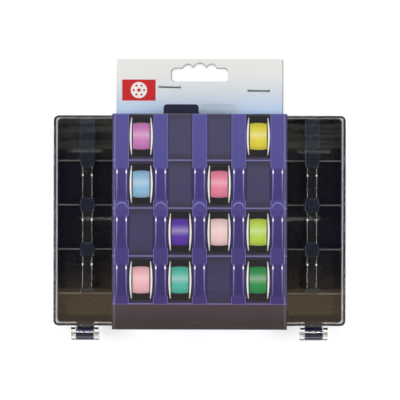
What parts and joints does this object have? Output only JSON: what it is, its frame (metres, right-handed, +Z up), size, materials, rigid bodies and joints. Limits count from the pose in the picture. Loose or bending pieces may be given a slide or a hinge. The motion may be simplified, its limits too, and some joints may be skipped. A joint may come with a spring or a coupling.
{
  "type": "bobbin storage box",
  "caption": "Flat hinged storage box with cells for sewing bobbins on edge, a clear lid, thumb tabs and a stapled card wrap with a hanging header.",
  "frame": {"origin": "on the underside of the card, below the middle of the box", "axes": "+Z up out of the lid, +X across the box, +Y towards the thumb tabs and the header"},
  "size_m": [0.1586, 0.1574, 0.0256],
  "materials": {
    "navy_plastic": "moulded styrene, navy, gloss",
    "clear_plastic": "moulded styrene, clear, gloss",
    "printed_card": "coated white board, printed",
    "steel_wire": "flat galvanised wire"
  },
  "bodies": {
    "tray": {"tray_shell": "navy_plastic", "comb_1": "navy_plastic", "comb_2": "navy_plastic", "comb_3": "navy_plastic", "comb_4": "navy_plastic", "comb_5": "navy_plastic", "comb_6": "navy_plastic", "comb_7": "navy_plastic", "cross_divider_1": "navy_plastic", "cross_divider_2": "navy_plastic", "cross_divider_3": "navy_plastic", "cross_divider_4": "navy_plastic", "sleeve_base": "printed_card", "header_front": "printed_card", "staple_left": "steel_wire", "staple_right": "steel_wire"},
    "lid": {"lid": "clear_plastic", "hinge_pin_left": "clear_plastic", "hinge_pin_right": "clear_plastic", "sleeve_hinge_strip": "printed_card"},
    "cover": {"sleeve_cover": "printed_card"}
  },
  "joints": [
    {"name": "lid_hinge", "type": "hinge", "parent": "tray", "child": "lid", "pos_m": [0, -0.06255, 0.01545], "axis": [1, 0, 0], "range_deg": [0, 110]},
    {"name": "cover_fold", "type": "hinge", "parent": "lid", "child": "cover", "pos_m": [0, -0.059, 0.0256], "axis": [1, 0, 0], "range_deg": [0, 60]}
  ]
}
